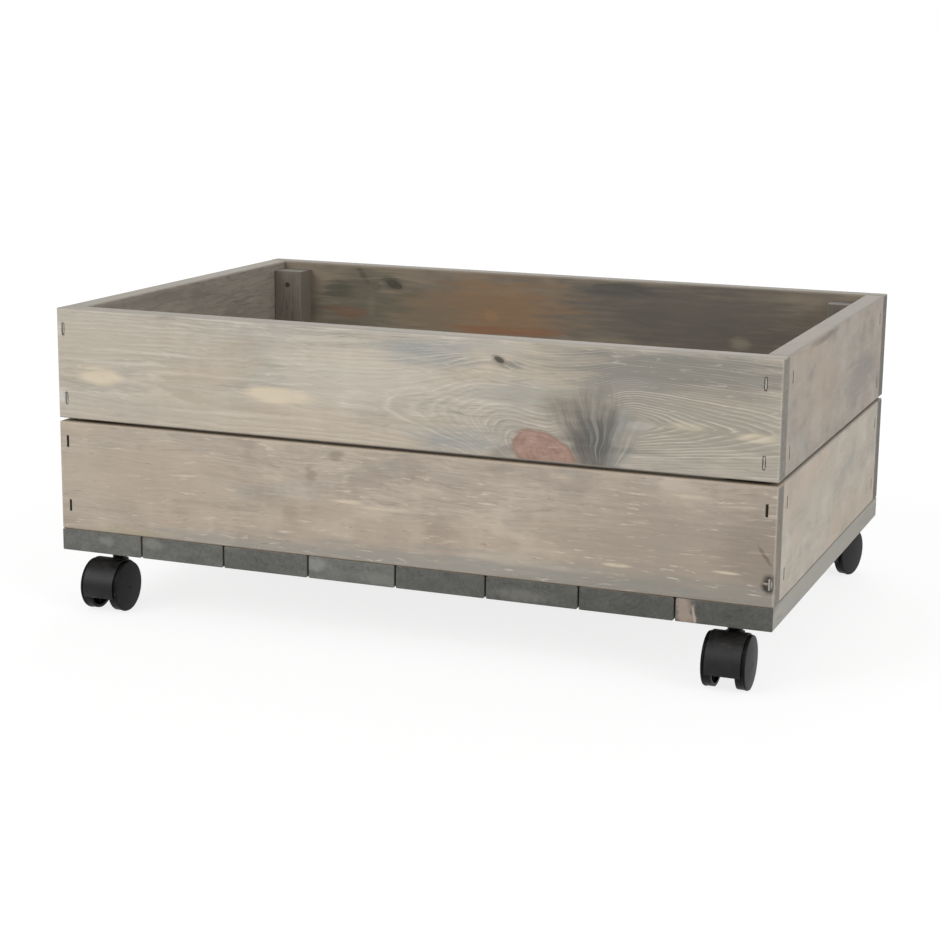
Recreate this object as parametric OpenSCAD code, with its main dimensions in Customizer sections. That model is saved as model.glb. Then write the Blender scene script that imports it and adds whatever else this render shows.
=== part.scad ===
// Rolling planter: a crate of planed boards on a slatted base, carried by four
// hooded twin-wheel casters. Two courses of wall boards are stapled to each
// other and to corner posts, the slats are stapled up into the lower course,
// and each caster turns on a stem that screws into an insert in an end slat.
// Millimetres. The origin is on the floor under the middle of the crate,
// X runs along the length, Y from front to back and Z up.

/* [Crate] */
// Overall length of the crate
crate_l = 600; // [520:1:700]
// Overall width of the crate, front to back
crate_w = 400; // [320:1:500]
// Height of one wall board
board_h = 90.7; // [75:0.1:120]
// Air gap between the lower and the upper course
course_gap = 2.6; // [1:0.1:5]
// Thickness of the wall boards
wall_t = 17; // [15:0.5:20]
// Radius of the eased edges of the wall boards
wall_edge_r = 2; // [1:0.5:4]
// Radius of the eased ends of the wall boards
wall_end_r = 1.5; // [0.8:0.1:2.5]
// Gap between the ends of the side boards and the long boards
butt_gap = 0.6; // [0.2:0.1:1]

/* [Base slats] */
// Thickness of the base slats
slat_t = 18; // [15:0.5:24]
// Gap between neighbouring slats
slat_gap = 1.2; // [0.6:0.1:3]
// Radius of the eased edges of the slats
slat_edge_r = 1.6; // [0.8:0.2:3]
// Radius of the eased ends of the slats
slat_end_r = 0.8; // [0.4:0.1:1.5]

/* [Corner posts] */
// Size of a post along the long walls
post_w = 28; // [24:1:40]
// Size of a post along the short walls
post_d = 24; // [20:1:36]
// Distance from the rim down to the top of a post
post_drop = 7; // [4:1:16]
// Radius of the eased edges of the posts
post_edge_r = 1.4; // [0.8:0.2:3]

/* [Staples and nails] */
// Width of a staple over its crown
staple_crown = 8.8; // [6:0.2:12]
// Length of a staple's legs
staple_leg = 25; // [21:0.5:27]
// Thickness of the square staple wire
staple_wire = 1.2; // [0.9:0.1:1.5]
// Depth of a crown below the face of the wood
staple_sink = 0.3; // [0:0.1:0.8]
// Width of the dent that the driver leaves round a crown
dent_w = 0.5; // [0.2:0.1:1]
// Distance from a board's long edge to its staples
staple_inset = 18; // [12:1:26]
// Scatter of the hand-driven staples in the walls, from none to full
staple_scatter = 1; // [0:0.1:1]
// Distance between the two staples in each end of a slat
slat_staple_pitch = 36; // [24:1:48]
// Distance between the staples that hold an end slat to a side wall
side_staple_pitch = 110; // [60:1:120]
// Length of a nail under its head
nail_l = 36; // [30:1:38]
// Diameter of a nail's shank
nail_d = 2.2; // [1.6:0.1:2.8]
// Diameter of a nail's head
nail_head_d = 4.6; // [4:0.1:6]
// Thickness of a nail's head
nail_head_t = 0.9; // [0.5:0.1:1.4]
// Distance from a board's long edge to the nails behind it
nail_inset = 20; // [14:1:30]

/* [Caster] */
// Distance from the end of the crate to the stem
stem_inset_x = 35.4; // [30:0.1:44]
// Distance from the front or back of the crate to the stem
stem_inset_y = 31; // [28:0.5:60]
// Distance from the stem back to the axle
trail = 15; // [13:0.5:20]
// Width over both wheels
caster_w = 35.6; // [32:0.2:42]
// Height of the neck between the top of the hood and the slats
neck_h = 7.8; // [4:0.1:12]
// Angle of the front left caster, from pointing forward
front_left_turn = 0; // [-180:1:180]
// Angle of the front right caster, from pointing forward
front_right_turn = 0; // [-180:1:180]
// Angle of the back left caster, from pointing forward
back_left_turn = -172; // [-180:1:180]
// Angle of the back right caster, from pointing forward
back_right_turn = 165; // [-180:1:180]

/* [Caster wheel] */
// Diameter over the lip of a wheel
wheel_d = 42; // [38:0.5:56]
// Height of the lip over the tread that the hood covers
lip_step = 0.4; // [0.2:0.1:1]
// Width of a wheel outside the hood, from the lip to the crown of the face
lip_w = 2.6; // [2.4:0.1:4]
// Rise of the crowned outer face
face_rise = 1; // [0.4:0.1:1.2]
// Radius of the outer shoulder of a wheel
shoulder_r = 1.2; // [0.6:0.1:1.5]
// Thickness of the rim under the tread
rim_t = 2.4; // [1.6:0.1:4]
// Thickness of the outer face
face_t = 2.2; // [1.6:0.1:3]
// Diameter of the hub
hub_d = 10; // [8:0.2:13]
// Number of ribs between hub and rim
rib_count = 6; // [3:1:10]
// Thickness of a rib
rib_t = 1.2; // [0.8:0.1:2]
// Depth of the ribs' edges behind the rim's inner edge
rib_setback = 2; // [0.5:0.1:3]

/* [Caster hood] */
// Width of the middle body between the wheels
body_w = 17.2; // [16.6:0.2:20]
// Thickness of the middle body's side walls
body_wall = 1.6; // [1.2:0.1:2.2]
// Thickness of the fender over the wheels
fender_t = 1.2; // [0.9:0.1:2]
// Gap between the tread and the fender
fender_gap = 0.4; // [0.3:0.1:1]
// Open seam between the fender's edge and the wheel's lip
seam = 1.5; // [0.5:0.1:1.8]
// Height of the hood's lower edge over the floor
hood_edge_z = 14; // [10:0.5:16]
// Diameter of the neck
neck_d = 11.8; // [10.4:0.1:13]
// Diameter of the stem housing
housing_d = 14.8; // [14:0.1:15.6]
// Diameter of the boss around the axle
axle_boss_d = 10; // [8:0.2:12]
// Thickness of the rib from the housing to the front of the fender
spine_t = 2; // [1.2:0.1:3]

/* [Caster stem and axle] */
// Diameter of the stem's threaded shank
shank_d = 8; // [6:0.5:9]
// Diameter of the journal that the hood turns on
journal_d = 7; // [6:0.1:7.4]
// Diameter of the collar that bears on the slat
collar_d = 12.4; // [11.6:0.1:14]
// Thickness of the collar
collar_t = 1.6; // [1:0.1:2.2]
// Depth of the retaining groove in the journal
stem_groove = 0.6; // [0.4:0.1:1]
// Outer diameter of the insert in the slat
insert_d = 11; // [10:0.1:12]
// Depth of the insert below the top of the slat
insert_cover = 1.5; // [0.5:0.1:3]
// Diameter of the axle
axle_d = 5; // [4:0.1:6]
// Depth of the groove that a hub snaps into
axle_groove = 0.3; // [0.2:0.05:0.4]

/* [Clearances] */
// Radial running clearance of the stem and the axle
run_gap = 0.05; // [0.02:0.01:0.09]
// Clearance around pieces that are driven or pressed in
drive_gap = 0.02; // [0.01:0.01:0.05]
// Clearance along the stem under its collar
swivel_gap = 0.3; // [0.2:0.05:0.5]
// Gap between a hub and the hood's axle boss
hub_gap = 0.3; // [0.2:0.05:0.4]
// Gap between a rim and the middle body
rim_gap = 0.5; // [0.4:0.1:1]

/* [Hidden] */
$fn = 64;
over = 1; // how far a cutting shape runs past the face it opens

// Colours
wood_wall = [0.66, 0.62, 0.56];
wood_slat = [0.38, 0.40, 0.37];
wood_post = [0.42, 0.38, 0.34];
dark_steel = [0.22, 0.21, 0.20];
zinc = [0.70, 0.70, 0.68];
black_plastic = [0.06, 0.06, 0.06];

// Levels and places of the wood
slat_count = 8;
slat_w = (crate_l - (slat_count - 1) * slat_gap) / slat_count;
slat_pitch = slat_w + slat_gap;
inner_w = crate_w - 2 * wall_t; // between the long walls
side_l = inner_w - 2 * butt_gap;

// Caster sizes that follow from the ones above
wheel_r = wheel_d / 2;
tread_r = wheel_r - lip_step;
fender_r = tread_r + fender_gap + fender_t;
fender_w = caster_w - 2 * (lip_w + seam);
deck_z = wheel_r + fender_r + neck_h; // underside of the slats
floor_z = deck_z + slat_t; // top of the slats
upper_z = floor_z + board_h + course_gap;
rim_z = upper_z + board_h;
post_h = rim_z - post_drop - floor_z;
course_zs = [floor_z, upper_z];

// How far the staples in each end of the front wall stray, from the lowest
// to the highest: towards that end, and upward
STRAYS = [
    [[-0.2, 2.4], [0.9, 1.5], [0.7, -1.2], [2.5, 0.8]],
    [[4.3, -0.4], [0.4, -0.2], [-3.3, -3.8], [-4.3, -1]]
];

neck_top_z = deck_z - collar_t - swivel_gap;
housing_drop = 2; // top of the stem housing under the top of the hood
housing_top_z = wheel_r + fender_r - housing_drop;
housing_fillet = (housing_d - neck_d) / 2;
stem_end_rise = 6; // end of the stem over the hood's lower edge
stem_end_z = hood_edge_z + stem_end_rise;
stem_groove_rise = 4; // groove over the end of the stem
stem_groove_z = stem_end_z + stem_groove_rise;
stem_groove_h = 2;
stem_tip = 0.8; // chamfer of the journal's end
insert_l = slat_t - insert_cover;

rim_inner_x = body_w / 2 + rim_gap;
hub_inner_x = body_w / 2 + hub_gap;
face_x = caster_w / 2 - face_rise; // outer face at the shoulder
face_inner_x = face_x - face_t;
axle_end_gap = 0.2; // end of the axle inside the face's inner side
axle_end_x = face_inner_x - axle_end_gap;
axle_tip = 0.5; // chamfer of the axle's ends
bore_spare = 0.5; // depth of the blind bore past the axle's end
hub_bore_end_x = axle_end_x + bore_spare;
axle_groove_x = (hub_inner_x + axle_end_x) / 2;
axle_groove_w = 1.2;
snap_slack = 0.1; // room along the axis beside each snap ridge
crown_r = (pow(wheel_r, 2) + pow(face_rise, 2)) / (2 * face_rise);

// Corners: name, side in X, side in Y, caster angle
CORNERS = [
    ["front_left", -1, -1, front_left_turn],
    ["front_right", 1, -1, front_right_turn],
    ["back_left", -1, 1, back_left_turn],
    ["back_right", 1, 1, back_right_turn]
];

WALLS = ["front", "back", "left", "right"];
COURSES = ["lower", "upper"];
CASTER_PARTS = ["insert", "stem", "hood", "axle", "left_wheel", "right_wheel"];

// ---- Sections and bars ----

// Rectangle a by b with its corners rounded to r, from the origin
module eased_section(a, b, r) {
    translate([r, 0]) square([a - 2 * r, b]);
    translate([0, r]) square([a, b - 2 * r]);
    for (x = [r, a - r], y = [r, b - r]) translate([x, y]) circle(r);
}

// Bar along X: t deep in Y, h high in Z
module bar_x(l, t, h, r) {
    rotate([90, 0, 90]) linear_extrude(l) eased_section(t, h, r);
}

// Board along X: a bar whose ends are eased as well, by end_r
module board_x(l, t, h, r, end_r) {
    intersection() {
        bar_x(l, t, h, r);
        linear_extrude(h) eased_section(l, t, end_r);
        translate([0, t, 0]) rotate([90, 0, 0]) linear_extrude(t) eased_section(l, h, end_r);
    }
}

// The same board along Y: t wide in X
module board_y(l, t, h, r, end_r) {
    translate([t, 0, 0]) rotate([0, 0, 90]) board_x(l, t, h, r, end_r);
}

// ---- Staples and nails ----
// Each group is drawn once as metal and, with a clearance, as the slots that
// the wood has for it. A slot opens into the dent round the crown.

// One staple: crown along X just under the plane z = 0, legs down
module staple(gap) {
    wire = staple_wire + 2 * gap;
    rim = gap > 0 ? dent_w : 0;
    crown_top = gap > 0 ? over : -staple_sink;
    crown_z = -staple_sink - staple_wire - gap;
    translate([-staple_crown / 2 - rim, -staple_wire / 2 - rim, crown_z])
        cube([staple_crown + 2 * rim, staple_wire + 2 * rim, crown_top - crown_z]);
    for (side = [-1, 1])
        translate([side * (staple_crown - staple_wire) / 2, 0, -staple_sink])
            translate([-wire / 2, -wire / 2, -staple_leg - gap]) cube([wire, wire, staple_leg + gap]);
}

// Heights of the staples or nails in both courses
function course_heights(inset) =
    [for (z = course_zs, dz = [inset, board_h - inset]) z + dz];

// Through a long wall into the ends of the side boards; out = -1 front, 1 back
module long_wall_staples(out, gap = 0) {
    heights = course_heights(staple_inset);
    for (side = [-1, 1], i = [0 : 3]) {
        stray = staple_scatter * STRAYS[side == out ? 0 : 1][i];
        translate([side * ((crate_l - wall_t) / 2 + stray[0]), out * crate_w / 2, heights[i] + stray[1]])
            rotate([-90 * out, 0, 0]) rotate([0, 0, 90]) staple(gap);
    }
}

// Through a side board into the corner posts; out = -1 left, 1 right. They
// stray half as far, and only away from the legs of the long walls' staples
module side_wall_staples(out, gap = 0) {
    heights = course_heights(staple_inset);
    for (side = [-1, 1], i = [0 : 3]) {
        stray = staple_scatter * STRAYS[side == out ? 1 : 0][i] / 2;
        translate([out * crate_l / 2, side * ((inner_w - post_d) / 2 - abs(stray[0])), heights[i] + stray[1]])
            rotate([0, 90 * out, 0]) staple(gap);
    }
}

function slat_x(i) = -crate_l / 2 + (i - 1) * slat_pitch;

// Up through the slats into the lower boards
module slat_staples(gap = 0) {
    for (i = [1 : slat_count], y = [-1, 1] * (crate_w - wall_t) / 2, side = [-1, 1])
        translate([slat_x(i) + (slat_w + side * slat_staple_pitch) / 2, y, deck_z])
            rotate([180, 0, 0]) staple(gap);
    for (x = [-1, 1] * (crate_l - wall_t) / 2, y = [-1, 0, 1] * side_staple_pitch)
        translate([x, y, deck_z]) rotate([180, 0, 90]) staple(gap);
}

// One nail: head on the plane z = 0, shank down
module nail(gap) {
    cylinder(d = nail_head_d + 2 * gap, h = nail_head_t / 2 + (gap > 0 ? over : 0));
    translate([0, 0, -nail_head_t / 2 - gap])
        cylinder(d = nail_head_d + 2 * gap, h = nail_head_t / 2 + gap);
    translate([0, 0, -nail_l - gap]) cylinder(d = nail_d + 2 * gap, h = nail_l);
}

// From inside, through each post into the long wall
module all_nails(gap = 0) {
    for (side = [-1, 1], out = [-1, 1], z = course_heights(nail_inset))
        translate([side * (crate_l / 2 - wall_t - post_w / 2), out * (inner_w / 2 - post_d), z])
            rotate([90 * out, 0, 0]) nail(gap);
}

module wall_staples(wall, gap = 0) {
    if (wall == "front") long_wall_staples(-1, gap);
    if (wall == "back") long_wall_staples(1, gap);
    if (wall == "left") side_wall_staples(-1, gap);
    if (wall == "right") side_wall_staples(1, gap);
}

// ---- Wooden pieces ----

module long_board() {
    board_x(crate_l, wall_t, board_h, wall_edge_r, wall_end_r);
}

module side_board() {
    board_y(side_l, wall_t, board_h, wall_edge_r, wall_end_r);
}

module wall_board(wall, course) {
    z = course_zs[course];
    is_long = wall == "front" || wall == "back";
    color(wood_wall) difference() {
        if (wall == "front") translate([-crate_l / 2, -crate_w / 2, z]) long_board();
        else if (wall == "back") translate([-crate_l / 2, crate_w / 2 - wall_t, z]) long_board();
        else if (wall == "left") translate([-crate_l / 2, -side_l / 2, z]) side_board();
        else translate([crate_l / 2 - wall_t, -side_l / 2, z]) side_board();
        wall_staples(wall, drive_gap);
        if (is_long) all_nails(drive_gap);
        if (!is_long) for (out = [-1, 1]) long_wall_staples(out, drive_gap);
        if (course == 0) slat_staples(drive_gap);
    }
}

module base_slat(i) {
    color(wood_slat) difference() {
        translate([slat_x(i), -crate_w / 2, deck_z])
            board_y(crate_w, slat_w, slat_t, slat_edge_r, slat_end_r);
        slat_staples(drive_gap);
        for (c = CORNERS) at_stem(c)
            translate([0, 0, deck_z - over]) cylinder(d = insert_d + 2 * drive_gap, h = insert_l + over);
    }
}

module corner_post(c) {
    x = c[1] * (crate_l / 2 - wall_t - post_w / 2);
    y = c[2] * (inner_w / 2 - post_d / 2);
    color(wood_post) difference() {
        translate([x - post_w / 2, y - post_d / 2, floor_z])
            linear_extrude(post_h) eased_section(post_w, post_d, post_edge_r);
        all_nails(drive_gap);
        side_wall_staples(c[1], drive_gap);
    }
}

// ---- Casters ----
// Drawn with the stem on the Z axis, the axle along X and the wheels in front.

module at_stem(c) {
    translate([c[1] * (crate_l / 2 - stem_inset_x), c[2] * (crate_w / 2 - stem_inset_y), 0])
        rotate([0, 0, c[3]]) children();
}

// Turns a shape round Z into one round the axle, its height along +X
module on_axle() {
    translate([0, -trail, wheel_r]) rotate([90, 0, 90]) children();
}

// Ring round the Z axis: rounded section from r_in to r_out, z_low to z_high
module ring(r_in, r_out, z_low, z_high, r) {
    rotate_extrude() translate([r_in, z_low]) eased_section(r_out - r_in, z_high - z_low, r);
}

module caster_insert() {
    color(zinc) translate([0, 0, deck_z]) difference() {
        cylinder(d = insert_d, h = insert_l);
        translate([0, 0, -over]) cylinder(d = shank_d + 2 * drive_gap, h = insert_l + 2 * over);
    }
}

module caster_stem() {
    r = journal_d / 2;
    color(dark_steel) rotate_extrude() {
        difference() {
            translate([0, stem_end_z]) square([r, deck_z - stem_end_z]);
            translate([r - stem_groove, stem_groove_z]) square([stem_groove + over, stem_groove_h]);
            translate([r, stem_end_z]) rotate(45) square(stem_tip * sqrt(2), center = true);
        }
        translate([0, deck_z - collar_t]) square([collar_d / 2, collar_t]);
        translate([0, deck_z]) square([shank_d / 2, insert_l]);
    }
}

// Bore for the journal, with the ridge that snaps into its groove left standing
module stem_bore() {
    r = journal_d / 2 + run_gap;
    ridge_low = stem_groove_z + snap_slack;
    ridge_high = stem_groove_z + stem_groove_h - snap_slack;
    translate([0, 0, ridge_high]) cylinder(r = r, h = neck_top_z + over - ridge_high);
    translate([0, 0, stem_end_z - swivel_gap]) cylinder(r = r, h = ridge_low - stem_end_z + swivel_gap);
    translate([0, 0, stem_end_z]) cylinder(r = r - stem_groove, h = ridge_high - stem_end_z + over);
}

// Neck above the housing, with a concave fillet between them
module neck() {
    rotate_extrude() difference() {
        union() {
            translate([0, hood_edge_z]) square([housing_d / 2, housing_top_z - hood_edge_z]);
            translate([0, hood_edge_z]) square([neck_d / 2, neck_top_z - hood_edge_z]);
        }
        translate([housing_d / 2, housing_top_z]) circle(housing_fillet);
    }
}

module caster_hood() {
    inner_w = body_w - 2 * body_wall;
    color(black_plastic) difference() {
        union() {
            intersection() {
                on_axle() union() {
                    ring(fender_r - fender_t, fender_r, -fender_w / 2, fender_w / 2, fender_t / 3);
                    for (side = [-1, 1])
                        translate([0, 0, side * (body_w - body_wall) / 2])
                            cylinder(r = fender_r - fender_t / 2, h = body_wall, center = true);
                    cylinder(r = fender_r - fender_t / 2, h = spine_t, center = true);
                    cylinder(d = axle_boss_d, h = inner_w + over, center = true);
                }
                translate([-caster_w, -trail - 2 * fender_r, hood_edge_z])
                    cube([2 * caster_w, 4 * fender_r, 2 * fender_r]);
            }
            neck();
        }
        stem_bore();
        on_axle() cylinder(r = axle_d / 2 + drive_gap, h = body_w + 2 * over, center = true);
    }
}

module caster_axle() {
    groove_r = axle_d / 2 - axle_groove;
    color(zinc) on_axle() rotate_extrude() difference() {
        translate([0, -axle_end_x]) square([axle_d / 2, 2 * axle_end_x]);
        for (side = [-1, 1]) {
            translate([groove_r, side * axle_groove_x - axle_groove_w / 2]) square([over, axle_groove_w]);
            translate([axle_d / 2, side * axle_end_x]) rotate(45) square(axle_tip * sqrt(2), center = true);
        }
    }
}

// Half section of the wheel on +X: radius across, distance from the middle up
module wheel_section() {
    lip_x = caster_w / 2 - lip_w;
    shoulder_x = face_x - shoulder_r;
    intersection() {
        union() {
            translate([0, rim_inner_x]) square([tread_r, face_x - rim_inner_x]);
            translate([0, lip_x]) square([wheel_r, shoulder_x - lip_x]);
            translate([0, shoulder_x]) square([wheel_r - shoulder_r, shoulder_r + face_rise]);
            translate([wheel_r - shoulder_r, shoulder_x]) circle(shoulder_r);
        }
        translate([0, caster_w / 2 - crown_r]) circle(crown_r, $fn = 720);
    }
}

module caster_wheel() {
    rim_r = tread_r - rim_t;
    bore_r = axle_d / 2 + run_gap;
    ridge_w = axle_groove_w - 2 * snap_slack;
    rib_l = rim_r + rim_t / 2 - hub_d / 4; // from inside the hub into the rim
    rib_x = rim_inner_x + rib_setback;
    color(black_plastic) on_axle() difference() {
        union() {
            rotate_extrude() difference() {
                wheel_section();
                translate([0, rim_inner_x - over]) square([rim_r, face_inner_x - rim_inner_x + over]);
            }
            translate([0, 0, hub_inner_x])
                cylinder(d = hub_d, h = face_inner_x - hub_inner_x + face_t / 2);
            for (i = [0 : rib_count - 1])
                rotate([0, 0, (i + 0.5) * 360 / rib_count])
                    translate([hub_d / 4, -rib_t / 2, rib_x])
                        cube([rib_l, rib_t, face_inner_x + face_t / 2 - rib_x]);
        }
        difference() {
            translate([0, 0, hub_inner_x - over])
                cylinder(r = bore_r, h = hub_bore_end_x - hub_inner_x + over);
            translate([0, 0, axle_groove_x - ridge_w / 2]) difference() {
                cylinder(r = bore_r + over, h = ridge_w);
                translate([0, 0, -over]) cylinder(r = bore_r - axle_groove, h = ridge_w + 2 * over);
            }
        }
    }
}

module caster_part(part) {
    if (part == "insert") caster_insert();
    if (part == "stem") caster_stem();
    if (part == "hood") caster_hood();
    if (part == "axle") caster_axle();
    if (part == "right_wheel") caster_wheel();
    if (part == "left_wheel") mirror([1, 0, 0]) caster_wheel();
}

// ---- The assembly ----

for (wall = WALLS, course = [0, 1])
    wall_board(wall, course);

for (i = [1 : slat_count])
    base_slat(i);

for (c = CORNERS)
    corner_post(c);

for (wall = WALLS)
    color(dark_steel) wall_staples(wall);

color(dark_steel) slat_staples();  // base_staples
color(dark_steel) all_nails();  // post_nails

for (c = CORNERS, part = CASTER_PARTS)
    at_stem(c) caster_part(part);
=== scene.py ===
import math
from collections import namedtuple

import bpy
from mathutils import Matrix, Vector


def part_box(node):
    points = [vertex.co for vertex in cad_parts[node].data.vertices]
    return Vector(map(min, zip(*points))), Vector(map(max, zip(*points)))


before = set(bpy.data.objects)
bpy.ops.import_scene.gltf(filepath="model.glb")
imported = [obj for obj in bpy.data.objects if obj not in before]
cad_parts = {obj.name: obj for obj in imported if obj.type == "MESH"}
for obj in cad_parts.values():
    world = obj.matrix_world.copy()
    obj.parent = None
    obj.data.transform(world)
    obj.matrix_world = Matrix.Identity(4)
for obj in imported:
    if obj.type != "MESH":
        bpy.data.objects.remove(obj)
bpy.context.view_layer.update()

TO_MM = 1000.0


# ---------------------------------------------------------------- camera and light

CAMERA_PLACE = (0.62226, -1.64235, 0.48601)    # metres
CAMERA_YAW = -21.238      # degrees, from +Y towards +X
CAMERA_PITCH = -12.219    # degrees above the horizon
CAMERA_ROLL = 0.719       # degrees
CAMERA_LENS = 79.846      # mm
CAMERA_SENSOR = 36.0      # mm
AIM = (0.0, 0.0, 0.12)    # metres, near the middle of the planter


def place_camera():
    """A long lens at the height and on the side that the crate is seen from."""
    yaw, pitch, roll = (math.radians(a) for a in (CAMERA_YAW, CAMERA_PITCH, CAMERA_ROLL))
    ahead = Vector((math.sin(yaw) * math.cos(pitch), math.cos(yaw) * math.cos(pitch), math.sin(pitch)))
    level = Vector((math.cos(yaw), -math.sin(yaw), 0.0))
    upright = level.cross(ahead)
    right = math.cos(roll) * level + math.sin(roll) * upright
    up = -math.sin(roll) * level + math.cos(roll) * upright
    lens = bpy.data.cameras.new("Camera")
    lens.sensor_fit = "HORIZONTAL"
    lens.sensor_width = CAMERA_SENSOR
    lens.lens = CAMERA_LENS
    camera = bpy.data.objects.new("Camera", lens)
    bpy.context.scene.collection.objects.link(camera)
    turn = Matrix((right, up, -ahead)).transposed().to_4x4()
    camera.matrix_world = Matrix.Translation(CAMERA_PLACE) @ turn
    bpy.context.scene.camera = camera


def softbox(name, place, size, watts):
    """A square softbox turned to the crate."""
    lamp = bpy.data.lights.new(name, "AREA")
    lamp.shape = "SQUARE"
    lamp.size = size
    lamp.energy = watts
    box = bpy.data.objects.new(name, lamp)
    bpy.context.scene.collection.objects.link(box)
    box.location = place
    box.rotation_euler = (Vector(AIM) - Vector(place)).to_track_quat("-Z", "Y").to_euler()


def light_studio():
    """Three large softboxes: a key at the front, a fill at the right and one behind."""
    softbox("Softbox_front", place=(-1.3, -2.3, 1.7), size=1.6, watts=31)
    softbox("Softbox_right", place=(2.4, -1.2, 1.3), size=1.4, watts=25)
    softbox("Softbox_back", place=(-0.6, 2.4, 1.9), size=1.6, watts=22)


# ---------------------------------------------------------------- mixing finishes

def srgb(red, green, blue):
    """A colour given in steps of 255, as the linear colour that shaders take."""
    parts = [c / 255 for c in (red, green, blue)]
    return tuple(p / 12.92 if p <= 0.04045 else ((p + 0.055) / 1.055) ** 2.4 for p in parts) + (1.0,)


# A Mix node numbers the sockets of all its data types in one row. These are the ones for colours.
MIX_FACTOR, MIX_UNDER, MIX_OVER = 0, 6, 7
MIX_RESULT = 2


class Recipe:
    """The nodes of one finish or effect, added and joined step by step."""

    def __init__(self, tree):
        self.tree = tree
        tree.nodes.clear()

    def add(self, kind, sockets=(), **settings):
        node = self.tree.nodes.new(kind if kind.startswith("NodeGroup") else "ShaderNode" + kind)
        for name, value in settings.items():
            setattr(node, name, value)
        for name, value in dict(sockets).items():
            self.feed(node.inputs[name], value)
        return node

    def feed(self, socket, value):
        if isinstance(value, bpy.types.NodeSocket):
            self.tree.links.new(value, socket)
        else:
            socket.default_value = value

    def number(self, operation, *values):
        return self.add("Math", enumerate(values), operation=operation).outputs[0]

    def vector(self, operation, *values):
        node = self.add("VectorMath", enumerate(values), operation=operation)
        return node.outputs["Value" if operation in ("LENGTH", "DOT_PRODUCT") else "Vector"]

    def scaled(self, vector, factor):
        return self.add("VectorMath", {0: vector, "Scale": factor}, operation="SCALE").outputs["Vector"]

    def parts(self, vector):
        return self.add("SeparateXYZ", {0: vector}).outputs

    def join(self, x, y, z):
        return self.add("CombineXYZ", {0: x, 1: y, 2: z}).outputs[0]

    def noise(self, place, size, detail=2.0, rough=0.5, output="Fac"):
        """Cloudy noise whose lumps have the given size along each direction."""
        shrunk = self.vector("DIVIDE", place, size)
        node = self.add("TexNoise", {"Vector": shrunk, "Scale": 1.0, "Detail": detail, "Roughness": rough})
        return node.outputs[output]

    def stray(self, place, size, detail=2.0):
        """Cloudy offsets of up to half a unit to either side, along each direction."""
        return self.vector("SUBTRACT", self.noise(place, size, detail, output="Color"), (0.5, 0.5, 0.5))

    def step(self, value, low, high, before, after):
        """One number below low and another above high, with a soft step between."""
        sockets = {"Value": value, "From Min": low, "From Max": high, "To Min": before, "To Max": after}
        return self.add("MapRange", sockets, interpolation_type="SMOOTHSTEP").outputs["Result"]

    def rise(self, value, low, high, top=1.0):
        """0 below low and top above high."""
        return self.step(value, low, high, 0.0, top)

    def fall(self, value, low, high, top=1.0):
        """top below low and 0 above high."""
        return self.step(value, low, high, top, 0.0)

    def cover(self, under, over, amount):
        """The colour over laid on the colour under."""
        sockets = {MIX_FACTOR: amount, MIX_UNDER: under, MIX_OVER: over}
        return self.add("Mix", sockets, data_type="RGBA", clamp_factor=True).outputs[MIX_RESULT]

    def effect(self, group, **sockets):
        """Places a shared effect, its inputs given by name."""
        node = self.add("Group", node_tree=group)
        for name, value in sockets.items():
            self.feed(node.inputs[name.capitalize()], value)
        return node.outputs


def new_material(name):
    """An empty material with room for a recipe."""
    material = bpy.data.materials.new(name)
    material.use_nodes = True
    return material


def new_effect(name, takes, gives):
    """An empty shared effect: its recipe, its inputs, and a call that hands out its results."""
    tree = bpy.data.node_groups.new(name, "ShaderNodeTree")
    recipe = Recipe(tree)
    for label, kind in takes.items():
        tree.interface.new_socket(name=label, in_out="INPUT", socket_type="NodeSocket" + kind)
    for label in gives:
        tree.interface.new_socket(name=label, in_out="OUTPUT", socket_type="NodeSocketFloat")
    inputs = recipe.add("NodeGroupInput").outputs

    def hand_out(*results):
        recipe.add("NodeGroupOutput", zip(gives, results))
        return tree

    return recipe, inputs, hand_out


# ---------------------------------------------------------------- effects in wood

# Place is a point of a board in mm from the board's middle: along the grain, across the board,
# and outward. Lot is the same point moved far off, by another distance for each board, so that no
# two boards share their noise. All lengths are in mm.

RIPPLE_DEPTH = 3.0        # how far a growth ring strays from round
FIBRE_SWAY = 16           # how far the fibres sway across the grain
CLIMB_LENGTH = 75         # along the grain, in which the line of a bend climbs
BEND_CHANGE = 6           # to either side of a knot, where one reach of its bend passes into the other
KNOT_WOBBLE = 0.36        # how uneven a knot's outline is, as a share of its reach


def growth_rings():
    """Yearly rings about the pith of the log. Swell is how far the rings are pushed out at a knot."""
    takes = {"Place": "Vector", "Lot": "Vector", "Pith": "Vector", "Width": "Float", "Wander": "Float",
             "Swell": "Float"}
    mix, given, hand_out = new_effect("Growth rings", takes, ("Late", "Early", "Tone"))
    drift = mix.stray(given["Lot"], (260, 70, 70))
    drifted = mix.vector("ADD", given["Place"], mix.scaled(drift, given["Wander"]))
    spoke = mix.vector("MULTIPLY", mix.vector("SUBTRACT", drifted, given["Pith"]), (0, 1, 1))
    ripple = mix.number("MULTIPLY", mix.noise(given["Lot"], (38, 9, 9), detail=3), RIPPLE_DEPTH)
    reach = mix.number("ADD", mix.number("ADD", mix.vector("LENGTH", spoke), ripple), given["Swell"])
    age = mix.number("DIVIDE", reach, given["Width"])
    part = mix.number("FRACT", age)
    late = mix.number("MULTIPLY", mix.rise(part, 0.4, 0.85), mix.fall(part, 0.9, 1.0))
    early = mix.number("MULTIPLY", mix.rise(part, 0.0, 0.1), mix.fall(part, 0.12, 0.42))
    year = mix.number("FLOOR", age)
    tone = mix.add("TexWhiteNoise", {"W": year}, noise_dimensions="1D").outputs["Value"]
    return hand_out(late, early, tone)


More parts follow.
